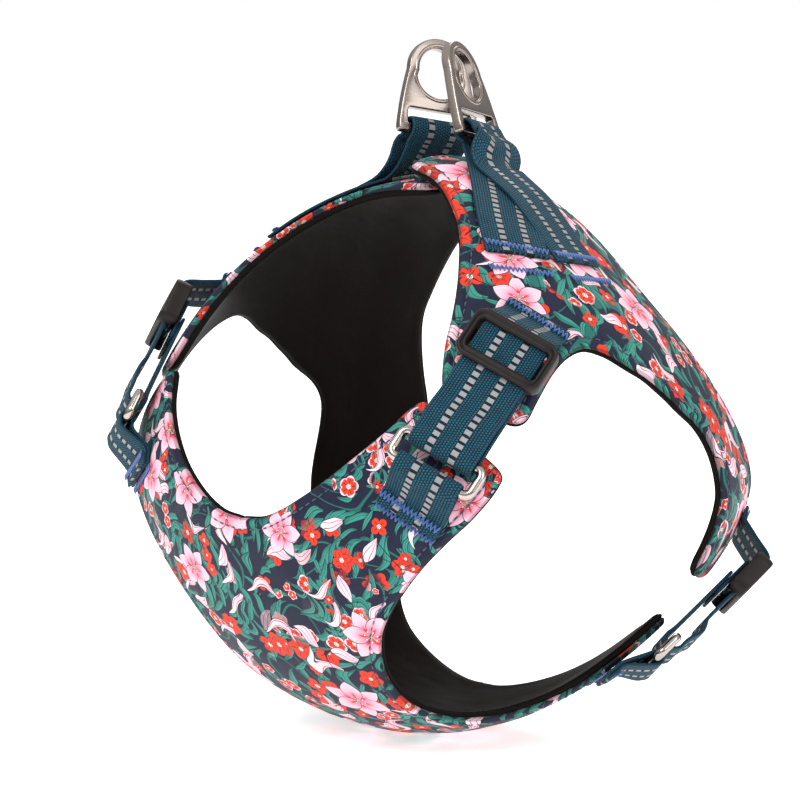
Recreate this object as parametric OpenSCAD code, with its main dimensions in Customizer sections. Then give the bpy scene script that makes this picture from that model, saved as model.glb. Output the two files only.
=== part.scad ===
// No-pull dog harness for a medium dog, shown as worn but without the dog. Millimetres.
// The dog faces -Y, its left side is +X and its back is up (+Z).
// All sewn pieces lie on one smooth torso surface. A place on it is [theta, lambda]:
// theta turns forward from the spine, lambda leans out from the middle plane.

/* [Torso fit] */
// Half width of the torso the harness is shaped to, mm
torso_half_width = 117; // [115:0.5:119]
// Reach of the torso surface in front of its centre, mm
torso_front = 113.5; // [111:0.5:116]
// Reach of the torso surface behind its centre, mm
torso_rear = 120; // [118:0.5:122]
// Height of the back above the torso centre, mm
torso_top = 111.5; // [109:0.5:114]
// Depth of the belly below the torso centre, mm
torso_bottom = 91.5; // [89:0.5:94]
// How much the torso narrows towards the rear, share per radius
torso_taper = 0.295; // [0.27:0.005:0.32]

/* [Panels] */
// Thickness of the printed outer cloth, mm
print_thickness = 1; // [0.8:0.1:1.2]
// Thickness of the foam padding, mm
padding_thickness = 3; // [2.6:0.1:3.2]
// Thickness of the smooth lining, mm
lining_thickness = 0.8; // [0.6:0.1:0.9]
// Corner radius at the squared arm tips, mm
corner_radius = 7; // [5:0.5:9]
// Thickness of each half of the hook-and-loop closure, mm
tape_thickness = 1.2; // [1:0.1:1.4]
// How far the right saddle half runs past the spine under the left one, degrees
closure_overlap = 6; // [5:0.5:7]

/* [Webbing] */
// Width of all the webbing, mm
webbing_width = 25; // [24:0.5:25.5]
// Thickness of the webbing, mm
webbing_thickness = 1.3; // [1.1:0.1:1.4]
// Depth of a bar tack along the webbing, mm
tack_depth = 3; // [2:0.5:4]

/* [Adjusters] */
// Wire diameter of the oval rings, mm
oval_wire = 3.4; // [3:0.1:3.6]
// Clear length inside an oval ring, mm
oval_length = 28; // [27.5:0.5:29]
// Clear height inside an oval ring, mm
oval_height = 7; // [6.8:0.1:8]
// Length of a slider along the strap, mm
slider_length = 19; // [18.5:0.5:21]
// Height of the neck slider axes above the torso surface, mm
neck_slider_lift = 6; // [5.8:0.1:7]
// Height of the girth slider axes above the torso surface, mm
girth_slider_lift = 9.5; // [8:0.1:10]
// Height of the oval ring axes above the torso surface, mm
ring_lift = 7.2; // [7:0.1:8]

/* [Leash rings] */
// Width of a leash ring across its base, mm
ring_width = 34; // [33.5:0.5:36]
// Height of a leash ring above its base bar, mm
ring_height = 38; // [36:0.5:40]
// Thickness of the leash ring plate, mm
ring_plate = 3.6; // [3.2:0.1:3.8]
// Radius of the round top of the leash eye, mm
eye_radius = 8.5; // [8:0.25:9]
// Outboard lean of the left leash ring at rest, degrees
left_ring_lean = -21; // [-23:1:0]
// Outboard lean of the right leash ring at rest, degrees
right_ring_lean = 17; // [5:1:25]

/* [Hidden] */
$fn = 64;
torso_centre = [0, 21.8, 94.4];
top_power = 1.62;
belly_power = 1.75;
rear_power = 2.5;
step = 0.05;
seam_gap = 0.02;
webbing_lift = 0.3;
edge_camber = 0.5;
half_w = webbing_width / 2;
half_t = webbing_thickness / 2;
under = webbing_lift + half_t;
over = under + webbing_thickness + 0.1;
panel_thickness = print_thickness + padding_thickness + lining_thickness + 2 * seam_gap;
closure_play = 0.6;
tape_lift = 0.1;
foot_depth = 7.5;
tack_lift = 0.33;
panel_tack = 0.35;
closure_rise = panel_thickness + 2 * tape_thickness + 2 * tape_lift + closure_play;
rise_full = 4;
rise_none = 40;
arm_width = 38;
tip_pitch = 15;
saddle_spread = 1.5;

// Torso surface and its helpers.
function unit(v) = v / norm(v);
function mix(a, b, f) = a * (1 - f) + b * f;
function ease(f) = let (c = max(0, min(1, f))) c * c * (3 - 2 * c);
function flip_x(v) = [-v[0], v[1], v[2]];
function heading(p) = [sin(p[1]), -cos(p[1]) * sin(p[0]), cos(p[1]) * cos(p[0])];
function reach(d) =
    let (narrow = 1 - torso_taper * d[1],
         wide = abs(d[0]) / (torso_half_width * narrow),
         flat = d[1] < 0 ? norm([wide, d[1] / torso_front])
                         : pow(pow(wide, rear_power) + pow(d[1] / torso_rear, rear_power),
                               1 / rear_power),
         tall = abs(d[2]) / ((d[2] > 0 ? torso_top : torso_bottom) * narrow),
         power = d[2] > 0 ? top_power : belly_power)
    pow(pow(flat, power) + pow(tall, power), -1 / power);
function skin(p) = let (d = heading(p)) torso_centre + reach(d) * d;
function skin_normal(p) = unit(cross(skin(p + [step, 0]) - skin(p - [step, 0]),
                                     skin(p + [0, step]) - skin(p - [0, step])));
function above(p, h) = skin(p) + h * skin_normal(p);
function rise(p, lifted) =
    lifted ? closure_rise * ease((rise_none - p[1]) / (rise_none - rise_full)) : 0;
// The left saddle half is lifted towards the spine, so its own face leans a little.
function face(p, lifted) = above(p, rise(p, lifted));
function face_normal(p, lifted) =
    unit(cross(face(p + [step, 0], lifted) - face(p - [step, 0], lifted),
               face(p + [0, step], lifted) - face(p - [0, step], lifted)));
function place_of(q) = let (v = q - torso_centre) [atan2(-v[1], v[2]), asin(v[0] / norm(v))];

// Smooth curve through a list of control points, u counts control points.
function curve(c, u) =
    let (n = len(c) - 1, i = min(floor(u), n - 1), f = u - i,
         a = c[max(i - 1, 0)], b = c[i], d = c[i + 1], e = c[min(i + 2, n)])
    (2 * b + f * (d - a) + f * f * (2 * a - 5 * b + 4 * d - e)
     + f * f * f * (3 * b - a - 3 * d + e)) / 2;

// Saddle half: outer edge (neck, spine, rear) and inner edge (leg hole), front tip to rear tip.
saddle_outer = [[62.5, 37.5], [52, 34.5], [44, 32.5], [37.5, 30], [32, 27], [27.5, 23.8],
                [23, 19], [18, 11], [14.3, 1.5], [5, 0.5], [-6, 0.5], [-12.5, 7],
                [-18, 17], [-24, 27], [-31, 36], [-39, 43.5], [-50, 48.5], [-64, 51.5],
                [-81, 52.5], [-101, 53.5], [-123, 55]];
saddle_inner = [[63.5, 51.5], [53, 52], [44, 52.2], [36.5, 52.7], [30, 54], [24.5, 57],
                [18, 61.5], [11, 64.5], [4, 67.3], [-3, 69.3], [-10, 71], [-18, 72],
                [-26, 72.5], [-35, 73], [-46, 73.7], [-58, 74.7], [-72, 76], [-88, 77],
                [-108, 77.5], [-129, 76.5], [-149, 73.5]];
// Chest piece, left half: outer edge (neck, middle line, belly rear) and leg-hole edge.
chest_outer = [[64, 34.8], [67.5, 32.4], [71.3, 30.3], [75.3, 27.3], [79.7, 23.3], [84.5, 18],
               [89.5, 11], [93.7, 0], [108, 0], [124, 0], [141, 0], [158, 0], [174, 0],
               [188.5, 0], [189, 9], [190.5, 18], [192.5, 26.5], [195.5, 34], [200.5, 40.5],
               [208, 46.5]];
chest_inner = [[76.5, 50], [80.5, 49], [84.5, 47.3], [89, 44.7], [94, 41], [99.5, 36.7],
               [105.5, 32.3], [111.5, 28], [119, 24.7], [128, 22.5], [138, 22.5],
               [147, 25.5], [155, 30.5], [162.5, 37], [169.5, 41.5], [176, 45.5],
               [182.5, 49.5], [189, 53], [196.5, 56], [204.5, 58.5]];
chest_joined = [7, 13];

// Adjuster places on the torso, left side.
neck_ring_at = [77.1, 40.2];
neck_slider_at = [50, 44.8];
girth_ring_at = [-164, 54];
girth_slider_at = [-122, 57];
// Distances along a strap: sewn stations and tack beyond the slider, and beyond the ring.
tail_run = [23.5, 21, 18.5];
tail_tack = 21;
anchor_run = [22, 18.5, 15];
anchor_tacks = [18, 24];

// Leash webbing places, left side.
lead_front = [[22.5, 33.2], [18.4, 28.3], [14.3, 23.4], [10.1, 18.4], [6.5, 14]];
lead_rear = [[5.5, 13.5], [5.6, 20.5], [5.9, 27], [6.4, 33], [7, 38.5]];
lead_tacks = [[21.5, 31.9], [25.2, 36], [6.7, 37], [6.3, 42.5]];
ring_bar_at = [10.7, 18.7, 223.4];
ring_across = unit([-10, 32, -5.4]);

// Slider and strap levels, measured out from the slider's centre bar.
bar_half = [2.2, 0.8];
loop_radius = bar_half[1] + 0.05 + half_t;
strap_level = loop_radius + webbing_thickness + 0.1;
return_level = -strap_level;
end_bar = 4;
end_bar_low = strap_level + half_t + 0.5;
end_bar_high = end_bar_low + 2;
rail = 3.2;
rail_low = -0.8;
slot_play = 0.8;
oval_bar = (oval_height + oval_wire) / 2;
oval_bend = 2.6;
strap_wrap = oval_wire / 2 + 1.1 + half_t;
anchor_wrap = oval_wire / 2 + 0.08 + half_t;
lead_wrap = norm([ring_plate, ring_plate]) / 2 + 0.6 + half_t;
lead_straight = 3.5;

// Rows of a panel: fewer far from the tips, closer where the corners round off.
function panel_rows(n) = concat([0, 0.07, 0.18, 0.33, 0.5], [for (u = [1:0.5:n - 1]) u],
                                [n - 0.5, n - 0.33, n - 0.18, n - 0.07, n]);
function corner_inset(d) =
    d >= corner_radius ? 0
    : corner_radius - sqrt(pow(corner_radius, 2) - pow(corner_radius - d, 2));
function panel_place(outer, inner, u, s) =
    let (n = len(outer) - 1, inset = corner_inset(min(u, n - u) * tip_pitch) / arm_width)
    mix(curve(outer, u), curve(inner, u), inset + s * (1 - 2 * inset));

// One layer of a panel between two heights. A joined panel is mirrored and shares its
// middle line between the two joined rows.
module layer(outer, inner, high, low, cols, lifted = false, joined = [], spread = 1) {
    rows = panel_rows(len(outer) - 1);
    n = len(rows);
    sides = len(joined) > 0 ? [1, -1] : [1];
    function shared(i) = len(joined) > 0 && rows[i] >= joined[0] && rows[i] <= joined[1];
    points = [for (side = sides, h = [high, low], u = rows, j = [0:cols])
        let (p = panel_place(outer, inner, u, pow(j / cols, spread)), q = above(p, h + rise(p, lifted)))
        side > 0 ? q : flip_x(q)];
    function at(s, k, i, j) = ((s > 0 && j == 0 && shared(i) ? 0 : s) * 2 + k) * n * (cols + 1)
                              + i * (cols + 1) + j;
    // Rows may run forwards or backwards in theta, and each mirror turns the faces over.
    start = outer[0][0] < outer[len(outer) - 1][0] ? 0 : 1;
    function quad(a, b, c, d, s) =
        (s + start) % 2 == 1 ? [[a, c, b], [a, d, c]] : [[a, b, c], [a, c, d]];
    faces = [for (s = [0:len(sides) - 1]) each concat(
        [for (i = [0:n - 2], j = [0:cols - 1], k = [0, 1]) each
            quad(at(s, k, i, j), at(s, k, i, j + 1), at(s, k, i + 1, j + 1), at(s, k, i + 1, j),
                 s + k)],
        [for (i = [0:n - 2]) each quad(at(s, 0, i, cols), at(s, 1, i, cols),
                                       at(s, 1, i + 1, cols), at(s, 0, i + 1, cols), s)],
        [for (i = [0:n - 2]) if (!(shared(i) && shared(i + 1)))
            each quad(at(s, 0, i, 0), at(s, 1, i, 0), at(s, 1, i + 1, 0), at(s, 0, i + 1, 0),
                      s + 1)],
        [for (j = [0:cols - 1], e = [0, 1]) each
            quad(at(s, 0, e * (n - 1), j), at(s, 1, e * (n - 1), j),
                 at(s, 1, e * (n - 1), j + 1), at(s, 0, e * (n - 1), j + 1), s + e)])];
    polyhedron(points, faces);
}

// A patch of tape between two theta and two lambda limits.
module patch(theta, lambda, high, low, lifted) {
    layer([for (k = [0:3]) [mix(theta[0], theta[1], k / 3), lambda[0]]],
          [for (k = [0:3]) [mix(theta[0], theta[1], k / 3), lambda[1]]], high, low, 6, lifted);
}

// A band of webbing through stations of [centre, across, camber].
module band(stations) {
    n = len(stations);
    function along(k) = unit(stations[min(k + 1, n - 1)][0] - stations[max(k - 1, 0)][0]);
    points = [for (k = [0:n - 1])
        let (s = stations[k], t = along(k), a = unit(s[1] - (s[1] * t) * t), m = cross(t, a))
        for (e = [[-1, 1], [0, 1], [1, 1], [1, -1], [0, -1], [-1, -1]])
            s[0] + e[0] * half_w * a + (abs(e[0]) * s[2] + e[1] * half_t) * m];
    faces = concat(
        [for (k = [0:n - 2], j = [0:5]) each
            [[6 * k + j, 6 * k + (j + 1) % 6, 6 * k + 6 + (j + 1) % 6],
             [6 * k + j, 6 * k + 6 + (j + 1) % 6, 6 * k + 6 + j]]],
        [for (f = [[0, 1, 4], [0, 4, 5], [1, 2, 3], [1, 3, 4]]) each
            [[f[2], f[1], f[0]], [for (v = f) 6 * (n - 1) + v]]]);
    polyhedron(points, faces);
}

// Stations sewn to the surface at one height. A turned band lies face down.
function sewn(places, h, lifted = false, turned = 1) =
    [for (k = [0:len(places) - 1])
        let (p = places[k], m = face_normal(p, lifted),
             t = skin(places[min(k + 1, len(places) - 1)]) - skin(places[max(k - 1, 0)]))
        [face(p, lifted) + h * m, turned * unit(cross(m, t)), -turned * edge_camber]];
function backwards(list) = [for (k = [len(list) - 1:-1:0]) list[k]];
function between(a, b, f) = [mix(a[0], b[0], f), unit(mix(a[1], b[1], f)), mix(a[2], b[2], f)];

// Frame of an adjuster: oval ring centre, strap direction, across, outward, strap length.
function adjuster(ring_at, slider_at, slider_lift) =
    let (r = above(ring_at, ring_lift), s = above(slider_at, slider_lift),
         t = unit(s - r), m = unit(skin_normal(ring_at) + skin_normal(slider_at)),
         out = unit(m - (m * t) * t))
    [r, t, cross(out, t), out, norm(s - r)];
function local(f, x, z) = f[0] + x * f[1] + z * f[3];
function along(f, distances) = [for (d = distances) place_of(local(f, d, -foot_depth))];
neck = adjuster(neck_ring_at, neck_slider_at, neck_slider_lift);
girth = adjuster(girth_ring_at, girth_slider_at, girth_slider_lift);

module in_frame(f, x) {
    o = f[0] + x * f[1];
    multmatrix([for (i = [0:2]) [f[1][i], f[2][i], f[3][i], o[i]]]) children();
}

// Strap: sewn tail, down through the slider, round the oval ring and back.
module strap(f) {
    start = sewn(along(f, [for (d = tail_run) f[4] + d]), under);
    run = [for (q = [[f[4] + 10, strap_level], [f[4] + 4, strap_level], [f[4] - 9, strap_level],
                     [f[4] - 22, strap_level], [oval_bar + 3, strap_wrap]])
        [local(f, q[0], q[1]), -f[2], 0]];
    wrap = [for (a = [90:22.5:270])
        [local(f, oval_bar + strap_wrap * cos(a), strap_wrap * sin(a)), -f[2], 0]];
    back = [for (q = [[oval_bar + 6, return_level], [f[4] - 4, return_level]])
        [local(f, q[0], q[1]), -f[2], 0]];
    band(concat(start, [between(start[2], run[0], 0.45)], run, wrap, back));
}

// Sewn end of the strap: loops the slider's centre bar and travels with it.
module strap_end(f) {
    turn = bar_half[0] - 0.25;
    path = concat([[-13, -loop_radius]],
                  [for (a = [-90:22.5:90]) [turn + loop_radius * cos(a), loop_radius * sin(a)]],
                  [for (a = [90:22.5:180]) [-turn + loop_radius * cos(a), loop_radius * sin(a)]]);
    band([for (q = path) [local(f, f[4] + q[0], q[1]), f[2], 0]]);
}

// Anchor loop: sewn to the panel, round the near bar of the oval ring, back on top.
module anchor(f) {
    places = along(f, -anchor_run);
    first = sewn(places, under);
    wrap = [for (a = [-65:19.5:130])
        [local(f, -oval_bar + anchor_wrap * cos(a), anchor_wrap * sin(a)), f[2], 0]];
    lead_in = [for (q = [[-65, -4.5], [130, 3.5]])
        [local(f, -oval_bar + anchor_wrap * cos(q[0]) - q[1] * sin(q[0]),
               anchor_wrap * sin(q[0]) + q[1] * cos(q[0])), f[2], 0]];
    last = sewn(backwards(places), over, false, -1);
    band(concat(first, [lead_in[0]], wrap, [lead_in[1]], last));
}

module oval_ring(f) {
    far = [oval_bar, (oval_length + oval_wire) / 2];
    straight = far - [oval_bend, oval_bend];
    in_frame(f, 0) for (side = [-1, 1]) {
        translate([side * far[0], 0, 0]) rotate([90, 0, 0])
            cylinder(d = oval_wire, h = 2 * straight[1], center = true);
        translate([0, side * far[1], 0]) rotate([0, 90, 0])
            cylinder(d = oval_wire, h = 2 * straight[0], center = true);
        for (turn = [0, 90])
            rotate([0, 0, turn + (side > 0 ? 0 : 180)])
                translate(turn == 0 ? straight : [straight[1], straight[0]])
                    rotate_extrude(angle = 90) translate([oval_bend, 0]) circle(d = oval_wire);
    }
}

module slider(f) {
    half_slot = half_w + slot_play;
    half_length = slider_length / 2;
    in_frame(f, f[4]) {
        cube([2 * bar_half[0], 2 * half_slot + rail, 2 * bar_half[1]], center = true);
        for (side = [-1, 1]) {
            translate([side * (half_length - end_bar / 2), 0, (end_bar_low + end_bar_high) / 2])
                cube([end_bar, 2 * half_slot + rail, end_bar_high - end_bar_low], center = true);
            translate([0, side * (half_slot + rail / 2), (rail_low + end_bar_high) / 2])
                cube([slider_length, rail, end_bar_high - rail_low], center = true);
        }
    }
}

// Leash webbing: front leg, up to the ring bar, over it, down again and along the rear leg.
function lead_crown(foot) =
    let (rise_to = ring_bar_at - foot, up = unit(rise_to - (rise_to * ring_across) * ring_across),
         side = cross(ring_across, up))
    [for (q = concat([[-10, -lead_straight]], [for (w = [-10:20:190]) [w, 0]], [[190, lead_straight]]))
        [ring_bar_at + lead_wrap * (sin(q[0]) * up - cos(q[0]) * side)
         + q[1] * (cos(q[0]) * up + sin(q[0]) * side), -ring_across, 0]];

module lead_webbing(lifted) {
    front = sewn(lead_front, under, lifted);
    rear = sewn(lead_rear, over, lifted, -1);
    flat = under - over;
    settled = [for (k = [0:len(rear) - 1])
        [rear[k][0] + flat * ease(k - 1.5) * skin_normal(lead_rear[k]), rear[k][1], rear[k][2]]];
    crown = lead_crown(mix(front[4][0], rear[0][0], 0.5));
    last = len(crown) - 1;
    band(concat(front, [for (f = [0.2, 0.5, 0.8]) between(front[4], crown[0], f)], crown,
                [for (f = [0.2, 0.5, 0.8]) between(crown[last], rear[0], f)], settled));
}

// Leash ring: a plate with a round-topped eye above a slot for the webbing.
module leash_ring(lean) {
    u0 = unit([0, 0, 1] - ring_across[2] * ring_across);
    side = cross(ring_across, u0);
    up = cos(lean) * u0 + sin(lean) * side;
    out = cross(up, ring_across);
    foot = ring_plate / 2;
    eye_at = ring_height - foot - 4 - eye_radius;
    slot_top = 7.6;
    band_top = slot_top + 5;
    rim = 4;
    top_radius = eye_radius + rim;
    lower_half = eye_radius + 1.2;
    outline = concat(
        [[-ring_width / 2, -foot], [ring_width / 2, -foot]],
        [for (k = [0:8]) let (f = k / 8) [mix(ring_width / 2, top_radius, f * f * 0.4 + f * 0.6),
                                          mix(1, eye_at, f)]],
        [for (a = [15:15:165]) [top_radius * cos(a), eye_at + top_radius * sin(a)]],
        [for (k = [8:-1:0]) let (f = k / 8) [-mix(ring_width / 2, top_radius,
                                                  f * f * 0.4 + f * 0.6), mix(1, eye_at, f)]]);
    shoulder = 0.995 * eye_radius * [cos(20), sin(20)];
    lower_eye = concat([[-shoulder[0], eye_at + shoulder[1]], [shoulder[0], eye_at + shoulder[1]]],
                       [for (a = [0:-15:-180]) [lower_half * cos(a),
                                                eye_at - 2 + (eye_at - 2 - band_top) * sin(a)]]);
    multmatrix([for (i = [0:2]) [ring_across[i], up[i], out[i], ring_bar_at[i]]])
        difference() {
            linear_extrude(ring_plate, center = true) polygon(outline);
            translate([0, eye_at, 0]) cylinder(r = eye_radius, h = ring_plate + 2, center = true);
            linear_extrude(ring_plate + 2, center = true) polygon(lower_eye);
            translate([0, (foot + slot_top) / 2, 0])
                cube([webbing_width + 1.6, slot_top - foot, ring_plate + 2], center = true);
        }
}

// Bar tack: a dense line of thread across the webbing, or straight on the panel.
module tack(p, toward, h, lifted = false) {
    m = face_normal(p, lifted);
    t = let (v = skin(toward) - skin(p)) unit(v - (v * m) * m);
    o = face(p, lifted) + h * m;
    a = cross(m, t);
    multmatrix([for (i = [0:2]) [t[i], a[i], m[i], o[i]]])
        cube([tack_depth, webbing_width - 1, 0.5], center = true);
}

module chest_tacks() {
    for (set = [[neck, neck_ring_at], [girth, girth_ring_at]]) {
        places = along(set[0], -anchor_tacks);
        tack(places[0], set[1], over + half_t + tack_lift);
        tack(places[1], set[1], panel_tack);
    }
}

module saddle_tacks(lifted) {
    for (set = [[neck, neck_slider_at], [girth, girth_slider_at]])
        tack(along(set[0], [set[0][4] + tail_tack])[0], set[1], under + half_t + tack_lift, lifted);
    for (set = [[lead_tacks[0], lead_tacks[1], lead_front[2]],
                [lead_tacks[2], lead_tacks[3], lead_rear[2]]]) {
        tack(set[0], set[2], under + half_t + tack_lift, lifted);
        tack(set[1], set[2], panel_tack, lifted);
    }
}

// Panels. The right saddle half runs past the spine, so its spine edge is moved over.
pad_top = -print_thickness - seam_gap;
lining_top = pad_top - padding_thickness - seam_gap;
lining_low = lining_top - lining_thickness;
right_outer = [for (p = saddle_outer) [p[0], p[1] - closure_overlap * ease((14 - p[1]) / 12)]];
print_color = [0.11, 0.13, 0.25];
foam_color = [0.2, 0.2, 0.22];
lining_color = [0.08, 0.05, 0.04];
webbing_color = [0.11, 0.35, 0.44];
thread_color = [0.18, 0.37, 0.68];
metal_color = [0.75, 0.72, 0.7];
plastic_color = [0.2, 0.16, 0.14];

module right() { mirror([1, 0, 0]) children(); }
module chest(high, low) {
    layer(chest_outer, chest_inner, high, low, 6, false, chest_joined);
}
module left_saddle(high, low) { layer(saddle_outer, saddle_inner, high, low, 8, true, [], saddle_spread); }
module right_saddle(high, low) { right() layer(right_outer, saddle_inner, high, low, 8, false, [], saddle_spread); }

module chest_print() { color(print_color) chest(0, -print_thickness); }
module chest_padding() { color(foam_color) chest(pad_top, pad_top - padding_thickness); }
module chest_lining() { color(lining_color) chest(lining_top, lining_low); }
module left_saddle_print() { color(print_color) left_saddle(0, -print_thickness); }
module left_saddle_padding() {
    color(foam_color) left_saddle(pad_top, pad_top - padding_thickness);
}
module left_saddle_lining() { color(lining_color) left_saddle(lining_top, lining_low); }
module right_saddle_print() { color(print_color) right_saddle(0, -print_thickness); }
module right_saddle_padding() {
    color(foam_color) right_saddle(pad_top, pad_top - padding_thickness);
}
module right_saddle_lining() { color(lining_color) right_saddle(lining_top, lining_low); }
module loop_tape() {
    color(lining_color) patch([11, -5], [-8, 5], tape_thickness + tape_lift, tape_lift, false);
}
module hook_tape() {
    color(foam_color) patch([10, -4], [1, 5], closure_rise + lining_low - closure_play,
                            tape_thickness + 2 * tape_lift, false);
}

module left_lead_webbing() { color(webbing_color) lead_webbing(true); }
module right_lead_webbing() { color(webbing_color) right() lead_webbing(false); }
module left_leash_ring() { color(metal_color) leash_ring(left_ring_lean); }
module right_leash_ring() { color(metal_color) right() leash_ring(right_ring_lean); }
module left_neck_anchor() { color(webbing_color) anchor(neck); }
module right_neck_anchor() { color(webbing_color) right() anchor(neck); }
module left_girth_anchor() { color(webbing_color) anchor(girth); }
module right_girth_anchor() { color(webbing_color) right() anchor(girth); }
module left_neck_ring() { color(metal_color) oval_ring(neck); }
module right_neck_ring() { color(metal_color) right() oval_ring(neck); }
module left_girth_ring() { color(metal_color) oval_ring(girth); }
module right_girth_ring() { color(metal_color) right() oval_ring(girth); }
module left_neck_strap() { color(webbing_color) strap(neck); }
module right_neck_strap() { color(webbing_color) right() strap(neck); }
module left_girth_strap() { color(webbing_color) strap(girth); }
module right_girth_strap() { color(webbing_color) right() strap(girth); }
module left_neck_slider() { color(plastic_color) slider(neck); }
module right_neck_slider() { color(plastic_color) right() slider(neck); }
module left_girth_slider() { color(plastic_color) slider(girth); }
module right_girth_slider() { color(plastic_color) right() slider(girth); }
module left_neck_strap_end() { color(webbing_color) strap_end(neck); }
module right_neck_strap_end() { color(webbing_color) right() strap_end(neck); }
module left_girth_strap_end() { color(webbing_color) strap_end(girth); }
module right_girth_strap_end() { color(webbing_color) right() strap_end(girth); }
module chest_bar_tacks() { color(thread_color) { chest_tacks(); right() chest_tacks(); } }
module left_saddle_bar_tacks() { color(thread_color) saddle_tacks(true); }
module right_saddle_bar_tacks() { color(thread_color) right() saddle_tacks(false); }

chest_print();
chest_padding();
chest_lining();
left_saddle_print();
left_saddle_padding();
left_saddle_lining();
right_saddle_print();
right_saddle_padding();
right_saddle_lining();
hook_tape();
loop_tape();
left_lead_webbing();
right_lead_webbing();
left_leash_ring();
right_leash_ring();
left_neck_anchor();
right_neck_anchor();
left_girth_anchor();
right_girth_anchor();
left_neck_ring();
right_neck_ring();
left_girth_ring();
right_girth_ring();
left_neck_strap();
right_neck_strap();
left_girth_strap();
right_girth_strap();
left_neck_slider();
right_neck_slider();
left_girth_slider();
right_girth_slider();
left_neck_strap_end();
right_neck_strap_end();
left_girth_strap_end();
right_girth_strap_end();
chest_bar_tacks();
left_saddle_bar_tacks();
right_saddle_bar_tacks();
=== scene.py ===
"""Looks of the no-pull dog harness: sewn panels, webbing, sliders, rings and materials.

Sizes are in millimetres.
"""
import math
import random

import bpy
import numpy as np
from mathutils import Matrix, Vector


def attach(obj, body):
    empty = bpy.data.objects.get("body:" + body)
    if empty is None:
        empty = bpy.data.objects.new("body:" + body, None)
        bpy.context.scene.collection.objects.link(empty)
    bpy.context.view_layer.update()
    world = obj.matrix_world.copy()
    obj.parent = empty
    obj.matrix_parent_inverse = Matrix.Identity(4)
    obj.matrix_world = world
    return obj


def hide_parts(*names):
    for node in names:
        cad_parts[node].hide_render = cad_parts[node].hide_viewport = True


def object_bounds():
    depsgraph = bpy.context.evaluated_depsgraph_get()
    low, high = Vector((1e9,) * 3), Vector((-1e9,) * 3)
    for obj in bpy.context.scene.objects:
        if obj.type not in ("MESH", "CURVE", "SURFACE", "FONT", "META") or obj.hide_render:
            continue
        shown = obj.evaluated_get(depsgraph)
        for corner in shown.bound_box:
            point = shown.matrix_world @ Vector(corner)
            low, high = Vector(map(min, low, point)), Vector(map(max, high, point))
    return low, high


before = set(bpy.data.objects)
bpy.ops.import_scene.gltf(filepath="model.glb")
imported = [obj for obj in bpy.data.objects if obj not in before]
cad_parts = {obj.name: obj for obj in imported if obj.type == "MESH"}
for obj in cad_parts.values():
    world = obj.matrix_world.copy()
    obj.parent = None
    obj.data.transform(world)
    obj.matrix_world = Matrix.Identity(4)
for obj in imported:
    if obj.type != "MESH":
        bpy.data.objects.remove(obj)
cad_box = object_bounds()
MM = 0.001

# ---------------------------------------------------------------- sizes shared with the CAD part
CENTRE = np.array([0, 21.8, 94.4])
HALF_WIDTH, FRONT, REAR, TOP, BOTTOM, TAPER = 117.0, 113.5, 120.0, 111.5, 91.5, 0.295
TOP_POWER, BELLY_POWER, REAR_POWER = 1.62, 1.75, 2.5
PRINT, PADDING, LINING, SEAM = 1.0, 3.0, 0.8, 0.02
PAD_TOP = -PRINT - SEAM
LINING_TOP = PAD_TOP - PADDING - SEAM
TAPE, TAPE_LIFT, PLAY = 1.2, 0.1, 0.6
RISE = PRINT + PADDING + LINING + 2 * SEAM + 2 * TAPE + 2 * TAPE_LIFT + PLAY
WIDTH, THICK = 25.0, 1.3
HALF_W, HALF_T = WIDTH / 2, THICK / 2
UNDER = 0.3 + HALF_T
OVER = UNDER + THICK + 0.1
CAMBER = 0.5
OVERLAP = 6.0
CORNER, ARM, TIP_PITCH = 7.0, 38.0, 15.0
OVAL_WIRE, OVAL_HEIGHT = 3.4, 7.0
OVAL_BAR = (OVAL_HEIGHT + OVAL_WIRE) / 2
BAR_X, BAR_Z = 2.2, 0.8
LOOP = BAR_Z + 0.05 + HALF_T
LEVEL = LOOP + THICK + 0.1
END_BAR_LOW = LEVEL + HALF_T + 0.5
END_BAR_HIGH = END_BAR_LOW + 2
SLIDER_LENGTH, RAIL, HALF_SLOT = 19.0, 3.2, HALF_W + 0.8
STRAP_WRAP = OVAL_WIRE / 2 + 1.1 + HALF_T
ANCHOR_WRAP = OVAL_WIRE / 2 + 0.08 + HALF_T
RING_PLATE, RING_WIDTH, RING_HEIGHT, EYE = 3.6, 34.0, 38.0, 8.5
LEAD_WRAP = math.hypot(RING_PLATE, RING_PLATE) / 2 + 0.6 + HALF_T
LEAD_STRAIGHT = 3.5
RING_BAR = np.array([10.7, 18.7, 223.4])
TACK_HEIGHT = 0.2

SADDLE_OUTER = [[62.5, 37.5], [52, 34.5], [44, 32.5], [37.5, 30], [32, 27], [27.5, 23.8], [23, 19], [18, 11],
                [14.3, 1.5], [5, 0.5], [-6, 0.5], [-12.5, 7], [-18, 17], [-24, 27], [-31, 36], [-39, 43.5],
                [-50, 48.5], [-64, 51.5], [-81, 52.5], [-101, 53.5], [-123, 55]]
SADDLE_INNER = [[63.5, 51.5], [53, 52], [44, 52.2], [36.5, 52.7], [30, 54], [24.5, 57], [18, 61.5], [11, 64.5],
                [4, 67.3], [-3, 69.3], [-10, 71], [-18, 72], [-26, 72.5], [-35, 73], [-46, 73.7], [-58, 74.7],
                [-72, 76], [-88, 77], [-108, 77.5], [-129, 76.5], [-149, 73.5]]
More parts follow.
